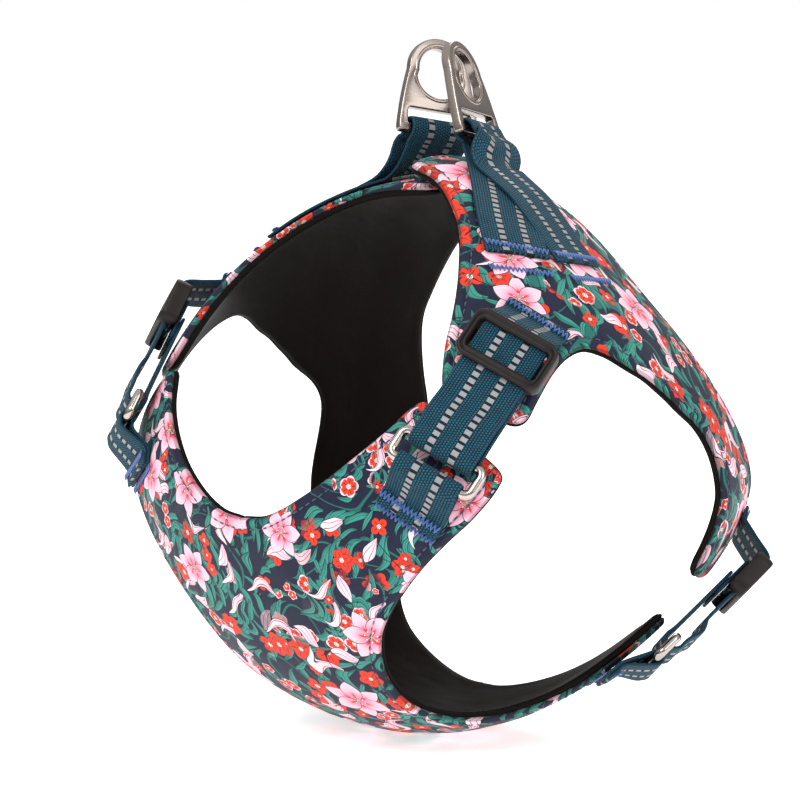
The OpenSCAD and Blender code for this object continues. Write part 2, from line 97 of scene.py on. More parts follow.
# The chest's centre edges are drawn smoother than in the CAD part, at most 2.4 mm away from it.
CHEST_OUTER = [[64, 34.8], [67.5, 32.4], [71.3, 30.3], [75.3, 27.3], [79.7, 23.3], [84.5, 18], [88.9, 11.5],
               [91.6, 5.8], [92.4, 0], [93.4, 0], [108, 0], [124, 0], [141, 0], [158, 0], [174, 0], [187.4, 0],
               [188.5, 0], [188.6, 5.5], [189.3, 12], [190.6, 19], [192.5, 26.5], [195.5, 34], [200.5, 40.5],
               [208, 46.5]]
CHEST_INNER = [[76.5, 50], [80.5, 49], [84.5, 47.3], [89, 44.7], [94, 41], [99.5, 36.7], [104.5, 33],
               [108.5, 30.1], [112, 27.8], [115.5, 26], [120.5, 24.2], [128, 22.5], [138, 22.5], [147, 25.5],
               [155, 30.5], [160, 34.9], [164.5, 38.4], [168.5, 40.9], [172.5, 43.3], [177.5, 46.4],
               [182.5, 49.5], [189, 53], [196.5, 56], [204.5, 58.5]]
LEAD_FRONT = [[22.5, 33.2], [18.4, 28.3], [14.3, 23.4], [10.1, 18.4], [6.5, 14]]
LEAD_REAR = [[5.5, 13.5], [5.6, 20.5], [5.9, 27], [6.4, 33], [7, 38.5]]
LEAD_TACKS = [[21.5, 31.9], [25.2, 36], [6.7, 37], [6.3, 42.5]]


# ---------------------------------------------------------------- torso surface
def unit(v):
    return v / np.linalg.norm(v, axis=-1, keepdims=True)


def ease(f):
    c = np.clip(f, 0, 1)
    return c * c * (3 - 2 * c)


def skin(p):
    t, l = np.radians(p[..., 0]), np.radians(p[..., 1])
    d = np.stack([np.sin(l), -np.cos(l) * np.sin(t), np.cos(l) * np.cos(t)], -1)
    x, y, z = d[..., 0], d[..., 1], d[..., 2]
    narrow = 1 - TAPER * y
    wide = np.abs(x) / (HALF_WIDTH * narrow)
    behind = (wide ** REAR_POWER + (np.abs(y) / REAR) ** REAR_POWER) ** (1 / REAR_POWER)
    flat = np.where(y < 0, np.hypot(wide, y / FRONT), behind)
    tall = np.abs(z) / (np.where(z > 0, TOP, BOTTOM) * narrow)
    power = np.where(z > 0, TOP_POWER, BELLY_POWER)
    return CENTRE + d * ((flat ** power + tall ** power) ** (-1 / power))[..., None]


def slope(f, p):
    a, b = np.array([0.05, 0]), np.array([0, 0.05])
    return unit(np.cross(f(p + a) - f(p - a), f(p + b) - f(p - b)))


def above(p, h):
    p = np.asarray(p, float)
    return skin(p) + np.asarray(h)[..., None] * slope(skin, p)


def rise(p, lifted):
    return RISE * ease((40 - p[..., 1]) / 36) if lifted else np.zeros(p.shape[:-1])


def face(p, lifted):
    return above(p, rise(p, lifted)) if lifted else skin(p)


def face_normal(p, lifted):
    return slope(lambda q: face(q, lifted), p)


def place_of(q):
    v = np.asarray(q) - CENTRE
    return np.array([math.degrees(math.atan2(-v[1], v[2])),
                     math.degrees(math.asin(v[0] / np.linalg.norm(v)))])


def curve(c, u):
    c = np.array(c, float)
    n = len(c) - 1
    i = np.minimum(np.floor(u).astype(int), n - 1)
    f = (u - i)[..., None]
    a, b, d, e = c[np.maximum(i - 1, 0)], c[i], c[i + 1], c[np.minimum(i + 2, n)]
    return (2 * b + f * (d - a) + f * f * (2 * a - 5 * b + 4 * d - e)
            + f ** 3 * (3 * b - a - 3 * d + e)) / 2


# ---------------------------------------------------------------- mesh helpers
def build(name, verts, faces, material, uv=None, edge=None, mirror=False, body="sewn_harness",
          flat=False):
    """A mesh object from points in mm, riding on a body. uv is in mm, one pair per point."""
    verts = np.array(verts, float)
    if mirror:
        verts = verts * [-1, 1, 1]
        faces = [tuple(reversed(f)) for f in faces]
    mesh = bpy.data.meshes.new(name)
    mesh.from_pydata((verts * MM).tolist(), [], [tuple(int(i) for i in f) for f in faces])
    if uv is not None:
        layer = mesh.uv_layers.new(name="UVMap")
        loops = np.empty(len(mesh.loops), int)
        mesh.loops.foreach_get("vertex_index", loops)
        layer.data.foreach_set("uv", (np.array(uv)[loops] / 100).ravel())
    if edge is not None:
        edge_values = mesh.attributes.new("edge", "FLOAT", "POINT")
        edge_values.data.foreach_set("value", np.array(edge, float))
    mesh.polygons.foreach_set("use_smooth", [not flat] * len(mesh.polygons))
    mesh.materials.append(material)
    mesh.update()
    obj = bpy.data.objects.new(name, mesh)
    bpy.context.collection.objects.link(obj)
    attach(obj, body)
    return obj


def tube_faces(n, m, close=False, caps=True):
    """Faces of n rings of m points, one after another."""
    rings = n if close else n - 1
    out = [(k * m + j, k * m + (j + 1) % m, ((k + 1) % n) * m + (j + 1) % m, ((k + 1) % n) * m + j)
           for k in range(rings) for j in range(m)]
    if caps and not close:
        out += [tuple(range(m - 1, -1, -1)), tuple(range((n - 1) * m, n * m))]
    return out


def outward(verts, faces):
    """The faces turned so that they look out of a closed shape."""
    v = np.array(verts)
    total = sum(np.dot(v[f[0]], np.cross(v[f[i]], v[f[i + 1]])) for f in faces
                for i in range(1, len(f) - 1))
    return faces if total > 0 else [tuple(reversed(f)) for f in faces]


def resample(points, step):
    """A smooth curve through points, at even steps. points holds any columns; the first three are the place."""
    p = np.array(points, float)
    dense = curve(p, np.linspace(0, len(p) - 1, (len(p) - 1) * 12 + 1))
    run = np.concatenate([[0], np.cumsum(np.linalg.norm(np.diff(dense[:, :3], axis=0), axis=1))])
    s = np.linspace(0, run[-1], max(int(run[-1] / step), 4))
    return np.stack([np.interp(s, run, dense[:, k]) for k in range(p.shape[1])], 1), s


def ribbon(name, stations, mirror=False, body="sewn_harness", node=None, material=None, start=0.0):
    """Webbing through stations of (centre, across, camber), with rounded selvedges."""
    rows, s = resample([[*c, *a, b] for c, a, b in stations], 0.8)
    centre, across, camber = rows[:, :3], rows[:, 3:6], rows[:, 6]
    t = unit(np.gradient(centre, axis=0))
    a = unit(across - np.sum(across * t, 1, keepdims=True) * t)
    m = np.cross(t, a)
    x = np.array([-1, -0.97, -0.9, -0.75, -0.5, -0.25, 0, 0.25, 0.5, 0.75, 0.9, 0.97, 1])
    bulge = np.array([0.35, 0.75, 1, 1, 1, 1, 1, 1, 1, 1, 1, 0.75, 0.35]) * HALF_T
    xs, hs = np.concatenate([x, x[::-1]]), np.concatenate([bulge, -bulge[::-1]])
    sway = 0.12 * np.sin(s / 6.1) + 0.08 * np.sin(s / 2.7 + 1)
    verts = (centre[:, None] + (xs * HALF_W)[None, :, None] * a[:, None]
             + (np.abs(xs)[None] ** 2 * camber[:, None] + hs[None])[..., None] * m[:, None]
             + 0.4 * sway[:, None, None] * a[:, None])
    uv = np.stack(np.broadcast_arrays((xs * HALF_W)[None], s[:, None] + start), -1).reshape(-1, 2)
    verts = verts.reshape(-1, 3)
    faces = outward(verts, tube_faces(len(rows), len(xs)))
    obj = build(name, verts, faces, material or webbing_material, uv=uv, mirror=mirror, body=body)
    if node:
        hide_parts(node)
    return obj


# ---------------------------------------------------------------- node helpers
class Wire:
    """A number in a node tree that can be used in arithmetic."""
    tree = None

    def __init__(self, out):
        self.out = out

    def __add__(self, o): return calc("ADD", self, o)
    def __radd__(self, o): return calc("ADD", o, self)
    def __sub__(self, o): return calc("SUBTRACT", self, o)
    def __rsub__(self, o): return calc("SUBTRACT", o, self)
    def __mul__(self, o): return calc("MULTIPLY", self, o)
    def __rmul__(self, o): return calc("MULTIPLY", o, self)
    def __truediv__(self, o): return calc("DIVIDE", self, o)
    def __pow__(self, o): return calc("POWER", self, o)


def node(kind, **settings):
    n = Wire.tree.nodes.new(kind)
    for k, v in settings.items():
        setattr(n, k, v)
    return n


def feed(socket, value):
    if isinstance(value, Wire):
        Wire.tree.links.new(value.out, socket)
    elif hasattr(value, "is_output"):
        Wire.tree.links.new(value, socket)
    else:
        socket.default_value = value


def calc(op, *args):
    n = node("ShaderNodeMath", operation=op)
    for i, a in enumerate(args):
        feed(n.inputs[i], a)
    return Wire(n.outputs[0])


def absolute(a): return calc("ABSOLUTE", a)
def fract(a): return calc("FRACT", a)
def least(a, b): return calc("MINIMUM", a, b)
def most(a, b): return calc("MAXIMUM", a, b)
def sine(a): return calc("SINE", a)
def cosine(a): return calc("COSINE", a)


def soft(x, lo, hi):
    """0 below lo, 1 above hi, smooth between."""
    n = node("ShaderNodeMapRange", interpolation_type="SMOOTHSTEP")
    feed(n.inputs["Value"], x)
    flip = lo > hi
    n.inputs["From Min"].default_value, n.inputs["From Max"].default_value = (hi, lo) if flip else (lo, hi)
    n.inputs["To Min"].default_value, n.inputs["To Max"].default_value = (1, 0) if flip else (0, 1)
    return Wire(n.outputs[0])


def rgb(code):
    """Linear colour from a hex code."""
    c = [int(code[i:i + 2], 16) / 255 for i in (0, 2, 4)]
    return (*[v / 12.92 if v <= 0.04045 else ((v + 0.055) / 1.055) ** 2.4 for v in c], 1)


def blend_colour(fac, a, b):
    n = node("ShaderNodeMix", data_type="RGBA")
    feed(n.inputs["Factor"], fac)
    feed(n.inputs["A"], a)
    feed(n.inputs["B"], b)
    return n.outputs["Result"]


def noise(vector, scale, detail=2.0, rough=0.5):
    n = node("ShaderNodeTexNoise")
    if vector is not None:
        feed(n.inputs["Vector"], vector)
    n.inputs["Scale"].default_value, n.inputs["Detail"].default_value = scale, detail
    n.inputs["Roughness"].default_value = rough
    return Wire(n.outputs[0])


def combine(x, y, z=0.0):
    n = node("ShaderNodeCombineXYZ")
    for i, v in enumerate((x, y, z)):
        feed(n.inputs[i], v)
    return n.outputs[0]


def mm_uv():
    """The piece's own cloth coordinates, in mm."""
    n = node("ShaderNodeSeparateXYZ")
    uv = node("ShaderNodeUVMap", uv_map="UVMap")
    Wire.tree.links.new(uv.outputs[0], n.inputs[0])
    return Wire(n.outputs[0]) * 100, Wire(n.outputs[1]) * 100


def material(name):
    m = bpy.data.materials.new(name)
    m.use_nodes = True
    Wire.tree = m.node_tree
    return m, m.node_tree.nodes["Principled BSDF"]


def bump(shader, height, distance_mm, strength=1.0):
    b = node("ShaderNodeBump")
    b.inputs["Strength"].default_value = strength
    b.inputs["Distance"].default_value = distance_mm * MM
    feed(b.inputs["Height"], height)
    Wire.tree.links.new(b.outputs[0], shader.inputs["Normal"])


def attribute(name):
    return Wire(node("ShaderNodeAttribute", attribute_name=name).outputs["Fac"])


# ---------------------------------------------------------------- floral print
NAVY, INK, TEAL, TEAL_LIGHT = rgb("10162f"), rgb("080b1a"), rgb("1f6a61"), rgb("34897c")
PINK, ROSE, BLUSH, RED, CREAM = rgb("f3c4d2"), rgb("e9668c"), rgb("f0d0da"), rgb("d8341d"), rgb("e9e6d8")


def cells(u, v, size, jitter, shift, turn=None, swing=2 * math.pi):
    """Scattered motif places: local x, y in mm, three random numbers, and the room each one has."""
    vec = combine(u / size + shift, v / size + shift * 0.37)
    f1 = node("ShaderNodeTexVoronoi", voronoi_dimensions="2D")
    room = node("ShaderNodeTexVoronoi", voronoi_dimensions="2D", feature="N_SPHERE_RADIUS")
    for n in (f1, room):
        feed(n.inputs["Vector"], vec)
        n.inputs["Scale"].default_value, n.inputs["Randomness"].default_value = 1.0, jitter
    away = node("ShaderNodeVectorMath", operation="SUBTRACT")
    feed(away.inputs[0], vec)
    feed(away.inputs[1], f1.outputs["Position"])
    parts = node("ShaderNodeSeparateXYZ")
    feed(parts.inputs[0], away.outputs[0])
    x, y = Wire(parts.outputs[0]) * size, Wire(parts.outputs[1]) * size
    rnd = node("ShaderNodeSeparateColor")
    feed(rnd.inputs[0], f1.outputs["Color"])
    r1, r2, r3 = (Wire(rnd.outputs[i]) for i in range(3))
    a = r1 * swing if turn is None else turn + (r1 - 0.5) * swing
    c, s = cosine(a), sine(a)
    return x * c + y * s, y * c - x * s, r1, r2, r3, Wire(room.outputs["Radius"]) * size


def flower(x, y, petals, length, width, point):
    """Signed petal width at x, y: how far inside a petal, mm, with the share along it."""
    r = calc("SQRT", x * x + y * y)
    k = petals / (2 * math.pi)
    turn = (fract(calc("ARCTAN2", y, x) * k) - 0.5) / k
    px, py = r * cosine(turn), absolute(r * sine(turn))
    t = least(most(px / length, 0.0), 1.0)
    w = length * width * t ** 0.9 * (1 - t) ** point
    return w - py, t, py, r


def petal(x, y, length, width):
    """A single long petal or leaf along x, centred."""
    t = least(absolute(x) / length, 1.0)
    return length * width * (1 - t ** 2.2) ** 0.9 - absolute(y), t


def lay(colour, fac, new):
    return blend_colour(fac, colour, new)


def printed_cloth():
    m, shader = material("floral_print")
    u, v = mm_uv()
    ripple = noise(combine(u / 30, v / 30), 1.0, 1.0)
    flow = ripple * 7
    bend = noise(combine(u / 9 + 7, v / 9), 1.0, 1.0) - 0.5
    bu, bv = u + bend * 3, v + (ripple - 0.5) * 8
    colour = NAVY
    # stems
    stem = absolute(fract(noise(combine(u / 40 + 3, v / 40 + 9), 1.0, 0.5) * 9) - 0.5)
    colour = lay(colour, soft(stem, 0.045, 0.025) * 0.85, TEAL)
    # leaves, long and short
    for size, length, width, shift, keep in ((15, 10.5, 0.17, 4.3, 0.9), (11, 7.4, 0.2, 9.7, 0.8),
                                             (9, 6.2, 0.16, 14.9, 0.7)):
        x, y, r1, r2, r3, room = cells(bu, bv, size, 0.8, shift, flow, 1.3)
        inside, t = petal(x, y + x * x * 0.03 - 0.5, length, width)
        shown = soft(r2, keep, keep - 0.02)
        tint = blend_colour(soft(y + r3, -0.5, 0.9), TEAL, TEAL_LIGHT)
        vein = soft(absolute(y + x * x * 0.03 - 0.5), 0.14, 0.05) * soft(t, 0.95, 0.8)
        tint = blend_colour(vein * 0.8, tint, INK)
        colour = lay(colour, soft(inside, -0.28, -0.12) * shown, INK)
        colour = lay(colour, soft(inside, 0.0, 0.12) * shown, tint)
    # clusters of small white-edged flowers and plain red ones
    crowd = noise(combine(u / 34 + 21, v / 34), 1.0, 1.0)
    for size, length, petals, shift, white in ((9.5, 4.8, 5.0, 2.2, True),
                                               (12.5, 6.6, 5.0, 6.1, False),
                                               (10.5, 5.0, 4.0, 13.4, False)):
        x, y, r1, r2, r3, room = cells(u, v, size, 0.75, shift)
        grown = least(room * 1.12, length) / length
        inside, t, py, r = flower(x / grown, y / grown, petals, length, 1.3 if white else 1.2, 0.66)
        shown = soft(crowd, 0.55, 0.57) * soft(r2, 0.7, 0.66) if white else \
            soft(crowd, 0.56, 0.52) * soft(r2, 0.34, 0.3)
        tone = blend_colour(r3 * 0.5, RED, rgb("d8361f"))
        tone = blend_colour(soft(py, 0.22, 0.1) * soft(t, 0.1, 0.3) * soft(t, 0.75, 0.6), tone, INK)
        colour = lay(colour, soft(inside, -0.3, -0.15) * shown, INK)
        colour = lay(colour, soft(inside, -0.02, 0.08) * shown, BLUSH if white else tone)
        if white:
            colour = lay(colour, soft(inside, 0.32, 0.5) * shown * soft(t, 0.86, 0.72), tone)
        heart = soft(r, 1.25, 1.05) * shown
        colour = lay(colour, heart, CREAM)
        dots = soft(sine(x * 7) * sine(y * 7), 0.1, 0.3)
        colour = lay(colour, heart * dots, INK)
    # pale buds and long petals
    for size, length, width, shift, keep in ((17, 9.6, 0.16, 17.3, 0.4),
                                             (15, 6.2, 0.4, 23.9, 0.32)):
        x, y, r1, r2, r3, room = cells(bu, bv, size, 0.7, shift, flow + 0.8, 1.2)
        inside, t = petal(x, y, length, width)
        shown = soft(r2, keep, keep - 0.02)
        tone = blend_colour(soft(x + y, -4, 6) * 0.55, BLUSH, rgb("f6a9bd"))
        line = soft(absolute(absolute(y) - 0.9 + x * 0.03), 0.16, 0.06) * soft(t, 0.85, 0.7)
        tone = blend_colour(line, tone, INK)
        colour = lay(colour, soft(inside, -0.28, -0.14) * shown, INK)
        colour = lay(colour, soft(inside, 0.0, 0.1) * shown, tone)
    # large open lilies
    x, y, r1, r2, r3, room = cells(u, v, 30, 0.6, 31.7)
    grown = least(room * 1.08, 12.5) / 12.5
    lx, ly = x / grown, y / grown
    shown = soft(r2, 0.56, 0.54)
    for petals, spin, reach_mm, width in ((3.0, math.pi / 3, 13.0, 1.0), (3.0, 0.0, 12.2, 1.25)):
        c, s = math.cos(spin), math.sin(spin)
        inside, t, py, r = flower(lx * c + ly * s, ly * c - lx * s, petals, reach_mm, width, 0.95)
        tone = blend_colour(soft(t, 0.7, 0.15) * 0.75, PINK, ROSE)
        tone = blend_colour(soft(py, 2.6, 0.2) * soft(t, 0.9, 0.3) * 0.35, tone, ROSE)
        tone = blend_colour(soft(py, 0.75, 0.25) * soft(t, 0.5, 0.3), tone, RED)
        tone = blend_colour(soft(absolute(inside - 1.3), 0.1, 0.03) * 0.35, tone, ROSE)
        colour = lay(colour, soft(inside, -0.3, -0.16) * shown, INK)
        colour = lay(colour, soft(inside, 0.02, 0.14) * shown, tone)
    k = 7 / (2 * math.pi)
    turn = (fract(calc("ARCTAN2", ly, lx) * k + r3) - 0.5) / k
    px, py = r * cosine(turn), absolute(r * sine(turn))
    knob = calc("SQRT", (px - 2.7) * (px - 2.7) + py * py) - 0.36
    stamen = least(most(py - 0.1, absolute(px - 1.3) - 1.2), knob)
    colour = lay(colour, soft(stamen, 0.2, 0.12) * shown, INK)
    colour = lay(colour, soft(stamen, 0.03, -0.05) * shown, CREAM)
    # cloth: weave, slight unevenness, dark turned edge, painted shade along the stitched channel
    weave = sine(u * 9) * sine(v * 9)
    patchy_haze = noise(combine(u, v), 0.35, 3.0)
    # a slight pale grey-blue haze that varies in patches across the cloth, also varying the roughness
    colour = blend_colour((patchy_haze - 0.5) * 0.1 + 0.01, colour, rgb("6d7388"))
    edge = attribute("edge")
    colour = blend_colour(soft(edge, 0.5, 0.0) * 0.5, colour, rgb("120d0c"))
    # painted shade: a faint dark line in the puckered channel 3.4 mm in from the edge, under the running stitch
    colour = blend_colour(soft(absolute(edge - 3.4), 0.75, 0.1) * 0.35, colour, INK)
    feed(shader.inputs["Base Color"], colour)
    feed(shader.inputs["Roughness"], 0.62 + (patchy_haze - 0.5) * 0.2)
    shader.inputs["Specular IOR Level"].default_value = 0.22
    shader.inputs["Sheen Weight"].default_value = 0.03
    shader.inputs["Sheen Roughness"].default_value = 0.5
    bump(shader, weave * 0.25 + noise(combine(u, v), 0.8, 3.0) * 0.8, 0.1, 0.6)
    return m


def webbing():
    m, shader = material("woven_webbing")
    x, y = mm_uv()
    col = calc("FLOOR", x / 1.04)
    lane = absolute(sine(x * (math.pi / 1.04)))
    row = absolute(sine((y + fract(col / 2) * 0.94) * (math.pi / 0.94)))
    knot = (lane * row) ** 0.55
    dash_side = soft(absolute(absolute(x) - 4.6), 1.35, 1.15)
    dash_run = soft(absolute(fract(y / 2.8) - 0.5), 0.34, 0.29)
    dash = dash_side * dash_run
    drift = noise(combine(x, y), 0.25, 3.0)
    teal = blend_colour(drift, rgb("0b4259"), rgb("16687f"))
    # painted shade: the hollows between the yarns go near-black, following the same weave height as the bump
    base = blend_colour(soft(knot, 0.35, 0.95), rgb("04131c"), teal)
    base = blend_colour(soft(absolute(x), 11.7, 12.3) * 0.5, base, rgb("0c3c52"))
    grey = blend_colour(soft(absolute(sine(x * 6)), 0.1, 0.7), rgb("6a6d70"), rgb("8f9295"))
    colour = blend_colour(dash_side * (1 - dash_run), base, rgb("06161f"))
    colour = blend_colour(dash, colour, grey)
    feed(shader.inputs["Base Color"], colour)
    feed(shader.inputs["Roughness"], 0.72 - dash * 0.3)
    shader.inputs["Specular IOR Level"].default_value = 0.25
    shader.inputs["Sheen Weight"].default_value = 0.02
    bump(shader, knot * (1 - dash) + dash * 0.9, 0.45, 0.9)
    return m


def lining_cloth():
    m, shader = material("smooth_lining")
    u, v = mm_uv()
    fold = noise(combine(u / 22, v / 60), 1.0, 3.0)
    thread = sine(u * 8) * sine(v * 8)
    # painted shade: the colour follows the fold bump, darker in the fold hollows and lighter on the crests
    colour = blend_colour(fold, rgb("060302"), rgb("100906"))
    feed(shader.inputs["Base Color"], colour)
    feed(shader.inputs["Roughness"], 0.42 + fold * 0.2)
    shader.inputs["Specular IOR Level"].default_value = 0.06
    bump(shader, fold * 6 + thread * 0.08, 0.5, 0.5)
    return m


def rim_cloth():
    m, shader = material("edge_binding")
    u, v = mm_uv()
    rib = sine((u + v) * 5)
    feed(shader.inputs["Base Color"],
         blend_colour(noise(combine(u, v), 0.6, 3.0), rgb("0a0706"), rgb("150f0d")))
    shader.inputs["Roughness"].default_value = 0.7
    shader.inputs["Specular IOR Level"].default_value = 0.08
    bump(shader, rib, 0.12, 0.5)
    return m


def polished_metal(name, tint, rough):
    m, shader = material(name)
    place = node("ShaderNodeTexCoord").outputs["Object"]
    cloud, fine = noise(place, 90.0, 2.0), noise(place, 700.0, 2.0)
    feed(shader.inputs["Base Color"], blend_colour(cloud * 0.5, rgb(tint), rgb("6f6761")))
    shader.inputs["Metallic"].default_value = 1.0
    feed(shader.inputs["Roughness"], rough + cloud * 0.08)
    bump(shader, fine, 0.003, 0.1)
    return m


def moulded_plastic():
    m, shader = material("moulded_plastic")
    place = node("ShaderNodeTexCoord").outputs["Object"]
    grain, cloud = noise(place, 2600.0, 3.0, 0.7), noise(place, 220.0, 2.0)
    feed(shader.inputs["Base Color"], blend_colour(cloud, rgb("0d0807"), rgb("1b1310")))
    feed(shader.inputs["Roughness"], 0.36 + grain * 0.18)
    shader.inputs["Specular IOR Level"].default_value = 0.25
    bump(shader, grain, 0.06, 0.5)
    return m


def thread(name, dark, light):
    m, shader = material(name)
    place = node("ShaderNodeTexCoord").outputs["Object"]
    twist = noise(place, 1500.0, 2.0)
    feed(shader.inputs["Base Color"], blend_colour(twist, rgb(dark), rgb(light)))
    shader.inputs["Roughness"].default_value = 0.45
    shader.inputs["Sheen Weight"].default_value = 0.3
    bump(shader, twist, 0.1, 0.6)
    return m


def tape_material(name, dark, light):
    m, shader = material(name)
    place = node("ShaderNodeTexCoord").outputs["Object"]
    fuzz, glare_patch = noise(place, 1400.0, 4.0, 0.8), noise(place, 500.0, 2.0)
    # painted glare: the light grey speckle over the dark tape stands for glare on the nylon pile
    feed(shader.inputs["Base Color"],
         blend_colour(soft(fuzz + glare_patch, 0.8, 1.2), rgb(dark), rgb(light)))
    shader.inputs["Roughness"].default_value = 0.9
    bump(shader, fuzz, 0.5, 0.8)
    return m


print_material, webbing_material = printed_cloth(), webbing()
lining_material, rim_material = lining_cloth(), rim_cloth()
ring_material = polished_metal("polished_nickel", "a0958e", 0.2)
oval_material = polished_metal("bright_nickel", "c4bab3", 0.12)
plastic_material = moulded_plastic()
tack_material = thread("tack_thread", "14356c", "3467b0")
stitch_material = thread("seam_thread", "1b1f38", "3c4468")
hook_tape_glare_material, loop_tape_glare_material = tape_material("hook_tape", "101012", "3a3a3e"), \
    tape_material("loop_tape", "17171a", "77777c")


# ---------------------------------------------------------------- panels
def panel_rows(n):
    tip = CORNER * (1 - np.cos(np.linspace(0, math.pi / 2, 9))) / TIP_PITCH
    return np.unique(np.concatenate([tip, np.arange(0.5, n - 0.45, 0.125), n - tip]).round(6))


def panel_grid(outer, inner, cols, joined=None):
    """Places and quads of a panel; a joined one is mirrored about its middle line."""
    n = len(outer) - 1
    u = panel_rows(n)
    lin = np.linspace(0, 1, cols + 1)
    s = 0.45 * lin + 0.55 * (1 - np.cos(math.pi * lin)) / 2
    d = np.minimum(u, n - u) * TIP_PITCH
    inset = np.where(d >= CORNER, 0,
                     CORNER - np.sqrt(np.maximum(CORNER ** 2 - np.maximum(CORNER - d, 0) ** 2, 0)))
    f = (inset / ARM)[:, None] + s[None] * (1 - 2 * inset / ARM)[:, None]
    a, b = curve(outer, u)[:, None], curve(inner, u)[:, None]
    p = a * (1 - f[..., None]) + b * f[..., None]
    rows = len(u)
    quads = [(i * (cols + 1) + j, i * (cols + 1) + j + 1, (i + 1) * (cols + 1) + j + 1,
              (i + 1) * (cols + 1) + j)
             for i in range(rows - 1) for j in range(cols)]
    places = p.reshape(-1, 2)
    if joined is None:
        return places, quads
    index, more = [], []
    for k in range(rows * (cols + 1)):
        i, j = divmod(k, cols + 1)
        if j == 0 and joined[0] - 1e-6 <= u[i] <= joined[1] + 1e-6:
            index.append(k)
        else:
            index.append(len(places) + len(more))
            more.append(places[k] * [1, -1])
    quads += [tuple(index[v] for v in reversed(q)) for q in quads]
    return np.concatenate([places, np.array(more)]), quads


def facing(places, quads):
    """1 where the quads turn the way the outside of the torso faces, else -1."""
    p = skin(places[list(quads[0])])
    across = np.cross(p[1] - p[0], p[3] - p[0])
    return math.copysign(1, across.dot(slope(skin, places[quads[0][0]])))


def border(quads):
    """The ordered outline of a sheet, as a loop of point numbers."""
    nxt = {}
    seen = {(q[k], q[(k + 1) % 4]) for q in quads for k in range(4)}
    for a, b in seen:
        if (b, a) not in seen:
            nxt[a] = b
    start = min(nxt)
    loop, at = [start], nxt[start]
    while at != start:
        loop.append(at)
        at = nxt[at]
    return loop


def flatten(points, quads):
    """Cloth coordinates of a sheet in mm, from Blender's unwrapping."""
    mesh = bpy.data.meshes.new("flatten")
    mesh.from_pydata((points * MM).tolist(), [], quads)
    obj = bpy.data.objects.new("flatten", mesh)
    bpy.context.collection.objects.link(obj)
    bpy.context.view_layer.objects.active = obj
    obj.select_set(True)
    bpy.ops.object.mode_set(mode="EDIT")
    bpy.ops.mesh.select_all(action="SELECT")
    bpy.ops.uv.unwrap(method="ANGLE_BASED", margin=0)
    bpy.ops.object.mode_set(mode="OBJECT")
    data = np.empty(len(mesh.loops) * 2)
    mesh.uv_layers.active.data.foreach_get("uv", data)
    loops = np.empty(len(mesh.loops), int)
    mesh.loops.foreach_get("vertex_index", loops)
    uv = np.zeros((len(points), 2))
    uv[loops] = data.reshape(-1, 2)
    bpy.data.objects.remove(obj)
    bpy.data.meshes.remove(mesh)
    q = np.array(quads)
    true = np.linalg.norm(points[q[:, 0]] - points[q[:, 1]], axis=1)
    flat = np.linalg.norm(uv[q[:, 0]] - uv[q[:, 1]], axis=1)
    return uv * np.median(true / np.maximum(flat, 1e-9))


def wave(v, scale, seed):
    """Smooth bumps over space, about -1 to 1."""
    rng = random.Random(seed)
    total = 0
    for _ in range(5):
        k = np.array([rng.uniform(-1, 1) for _ in range(3)])
        total = total + np.sin(v @ (k / np.linalg.norm(k)) * (2 * math.pi / (scale * rng.uniform(0.7, 1.4)))
                               + rng.uniform(0, 6))
    return total / 3


def sheet(name, places, quads, loop, top, low, puff, lifted, uv, edge, mat, mirror, node_name):
    """A closed cloth sheet between two heights, with its rim bulging out by puff."""
    lift = rise(places, lifted)
    up, down = above(places, top + lift), above(places, low + lift)
    count = len(places)
    ring = np.array(loop)
    centre_line = skin(places[ring])
    along = unit(np.roll(centre_line, -1, 0) - np.roll(centre_line, 1, 0))
    away = facing(places, quads) * unit(np.cross(along, slope(skin, places[ring])))
    steps = 5 if puff > 0 else 1
    walls, wall_uv = [], []
    for k in range(1, steps):
        f = k / steps
        bow = math.sin(math.pi * f) ** 0.6 * puff
        walls.append(up[ring] * (1 - f) + down[ring] * f + away * bow)
        wall_uv.append(uv[ring] + [0.0, 3 * f])
    verts = np.concatenate([up, down] + walls)
    rows = [ring] + [2 * count + k * len(ring) + np.arange(len(ring))
                     for k in range(steps - 1)] + [ring + count]
    faces = [tuple(q) for q in quads] + [tuple(v + count for v in reversed(q)) for q in quads]
    n = len(ring)
    for a, b in zip(rows[:-1], rows[1:]):
        faces += [(int(a[(k + 1) % n]), int(a[k]), int(b[k]), int(b[(k + 1) % n]))
                  for k in range(n)]
    faces = outward(verts, faces)
    all_uv = np.concatenate([uv, uv] + wall_uv) if walls else np.concatenate([uv, uv])
    all_edge = np.concatenate([edge, edge, np.zeros(len(verts) - 2 * count)])
    obj = build(name, verts, faces, mat, uv=all_uv, edge=all_edge, mirror=mirror)
    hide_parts(node_name)
    return obj


